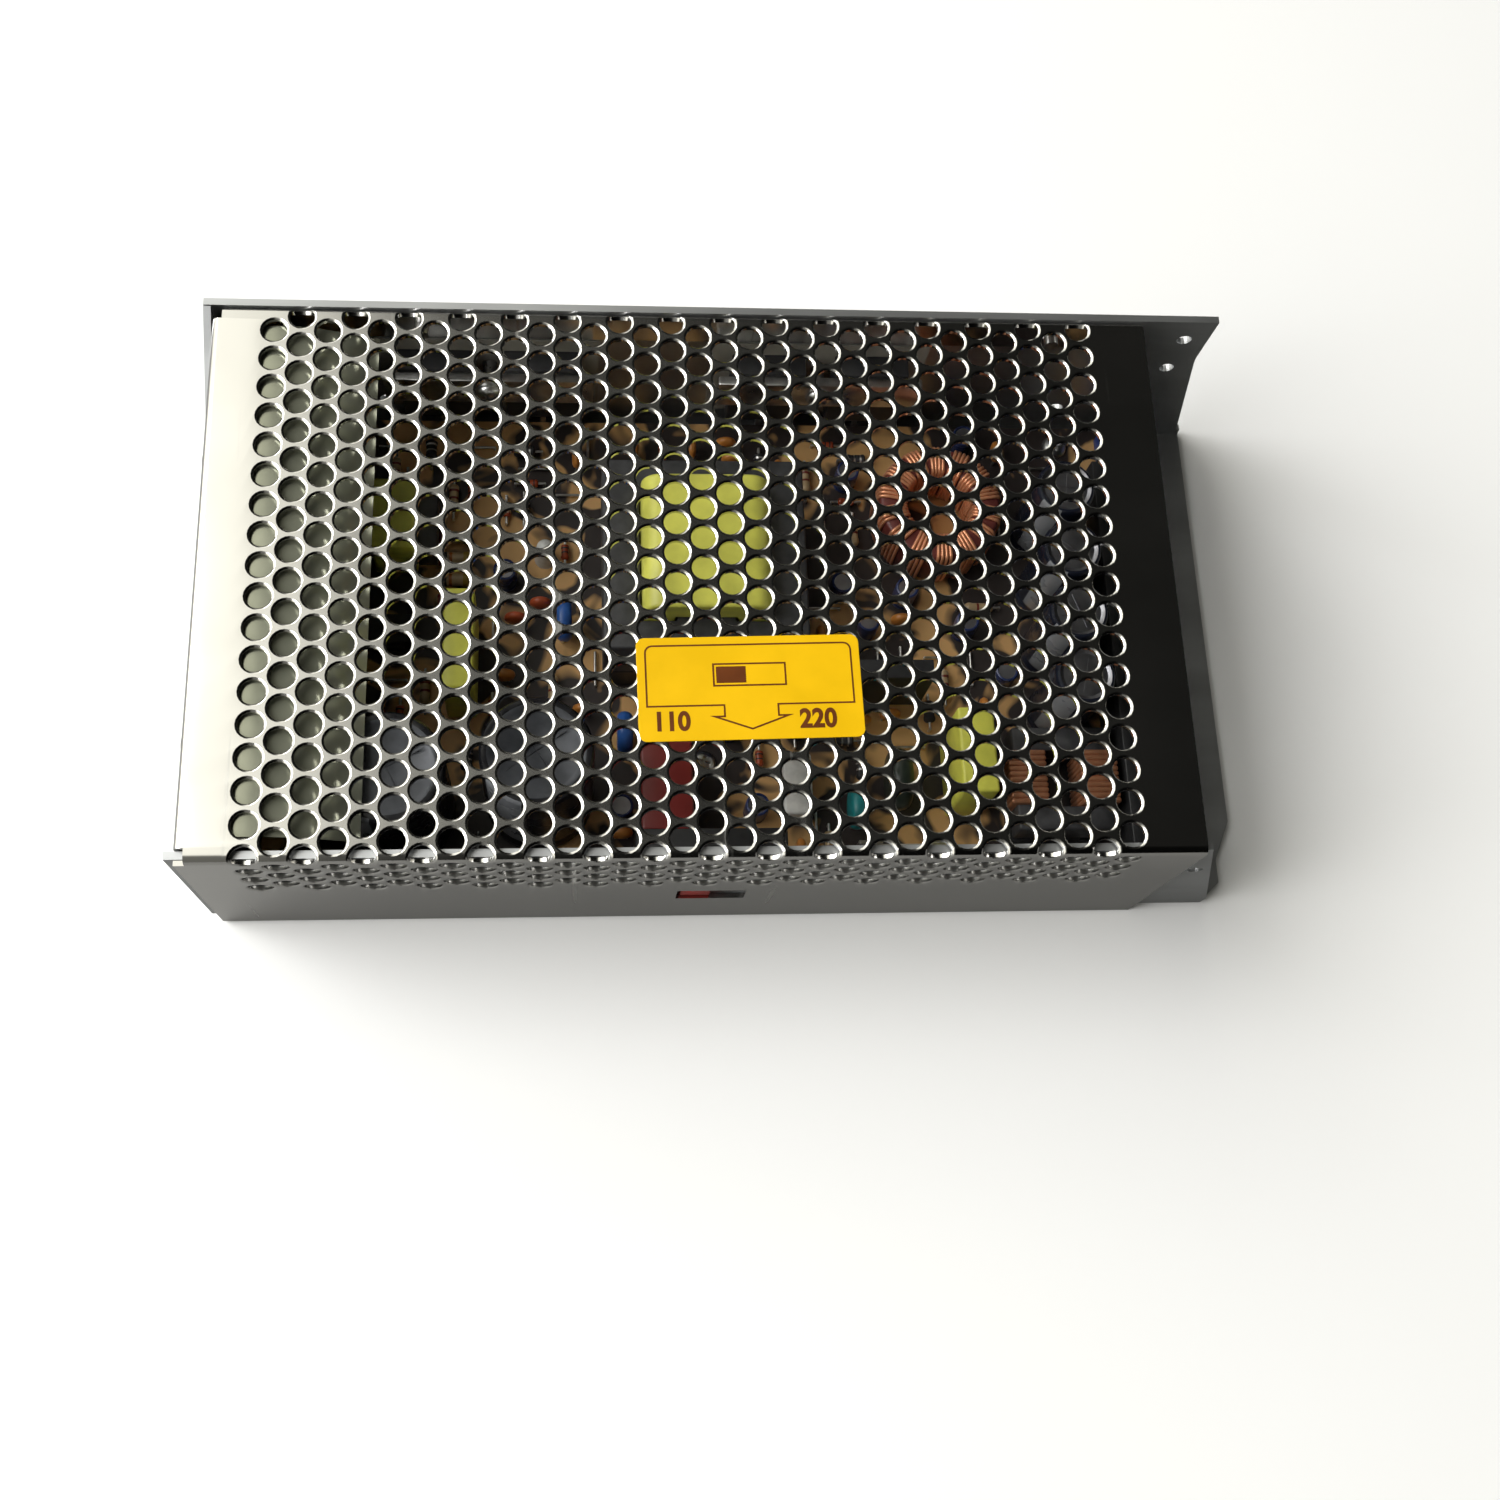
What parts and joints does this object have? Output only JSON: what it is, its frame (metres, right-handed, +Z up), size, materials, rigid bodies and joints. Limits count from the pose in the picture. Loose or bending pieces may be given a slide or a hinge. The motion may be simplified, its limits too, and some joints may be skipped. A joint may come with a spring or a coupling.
{
  "type": "switching power supply",
  "caption": "Enclosed switching power supply: perforated folded cover over a sheet chassis, terminal bay at one end, board with coils and capacitors inside.",
  "frame": {"origin": "centre of the flat underside of the case base", "axes": "+X along the length towards the open terminal end, +Y to the wall that carries the power transistors, +Z up from the base to the perforated cover"},
  "size_m": [0.2167, 0.1167, 0.0501],
  "materials": {
    "chassis": "satin folded sheet",
    "cover": "bright plated sheet",
    "cover_screws": "plated",
    "switch_label": "yellow film",
    "insulating_sheet": "translucent film",
    "circuit_board": "brown paper laminate",
    "board_standoffs": "plated",
    "board_screws": "plated",
    "terminal_block": "black moulded",
    "terminal_clamps": "plated",
    "terminal_screws": "plated",
    "trimmer_body": "blue moulded",
    "trimmer_rotor": "cream moulded",
    "power_lamp": "clear green",
    "selector_body": "black moulded",
    "selector_slide": "red moulded",
    "transformer_core": "dark ferrite",
    "transformer_winding": "yellow-green tape",
    "transformer_bobbin": "black moulded",
    "output_choke_core": "dark painted powder core",
    "output_choke_winding": "enamelled copper wire",
    "bulk_capacitor_1": "dark sleeve",
    "bulk_capacitor_2": "dark sleeve",
    "output_capacitor_1": "dark sleeve",
    "output_capacitor_2": "dark sleeve",
    "output_capacitor_3": "dark sleeve",
    "output_capacitor_4": "dark sleeve",
    "small_capacitors": "dark sleeve",
    "filter_capacitor": "yellow case",
    "film_capacitor": "yellow case",
    "snubber_capacitor": "maroon case",
    "safety_capacitors": "blue coating",
    "varistor": "teal coating",
    "inrush_thermistor": "dark coating",
    "filter_choke_base": "black moulded",
    "filter_choke_core": "dark ferrite",
    "filter_choke_windings": "enamelled copper wire",
    "fuse": "white tube",
    "fuse_clips": "plated",
    "bridge_rectifier": "black moulded",
    "ceramic_resistor": "white cement",
    "driver_core": "dark ferrite",
    "driver_winding": "yellow tape",
    "controller_chip": "black moulded",
    "resistors": "tan coating",
    "switching_transistors": "black moulded",
    "output_rectifiers": "black moulded",
    "insulating_pads": "grey silicone",
    "clamp_bars": "plated",
    "clamp_screws": "plated"
  },
  "bodies": {
    "supply": {"chassis": "chassis", "cover": "cover", "cover_screws": "cover_screws", "switch_label": "switch_label", "insulating_sheet": "insulating_sheet", "circuit_board": "circuit_board", "board_standoffs": "board_standoffs", "board_screws": "board_screws", "terminal_block": "terminal_block", "terminal_clamps": "terminal_clamps", "terminal_screws": "terminal_screws", "trimmer_body": "trimmer_body", "power_lamp": "power_lamp", "selector_body": "selector_body", "transformer_core": "transformer_core", "transformer_winding": "transformer_winding", "transformer_bobbin": "transformer_bobbin", "output_choke_core": "output_choke_core", "output_choke_winding": "output_choke_winding", "bulk_capacitor_1": "bulk_capacitor_1", "bulk_capacitor_2": "bulk_capacitor_2", "output_capacitor_1": "output_capacitor_1", "output_capacitor_2": "output_capacitor_2", "output_capacitor_3": "output_capacitor_3", "output_capacitor_4": "output_capacitor_4", "small_capacitors": "small_capacitors", "filter_capacitor": "filter_capacitor", "film_capacitor": "film_capacitor", "snubber_capacitor": "snubber_capacitor", "safety_capacitors": "safety_capacitors", "varistor": "varistor", "inrush_thermistor": "inrush_thermistor", "filter_choke_base": "filter_choke_base", "filter_choke_core": "filter_choke_core", "filter_choke_windings": "filter_choke_windings", "fuse": "fuse", "fuse_clips": "fuse_clips", "bridge_rectifier": "bridge_rectifier", "ceramic_resistor": "ceramic_resistor", "driver_core": "driver_core", "driver_winding": "driver_winding", "controller_chip": "controller_chip", "resistors": "resistors", "switching_transistors": "switching_transistors", "output_rectifiers": "output_rectifiers", "insulating_pads": "insulating_pads", "clamp_bars": "clamp_bars", "clamp_screws": "clamp_screws"},
    "rotor": {"trimmer_rotor": "trimmer_rotor"},
    "slide": {"selector_slide": "selector_slide"}
  },
  "joints": [
    {"name": "trimmer_turn", "type": "hinge", "parent": "supply", "child": "rotor", "pos_m": [0.088, 0.0465, 0.0136], "axis": [0, 0, 1], "range_deg": [-135, 135]},
    {"name": "selector_travel", "type": "slide", "parent": "supply", "child": "slide", "axis": [1, 0, 0], "range_m": [0, 0.006]}
  ]
}
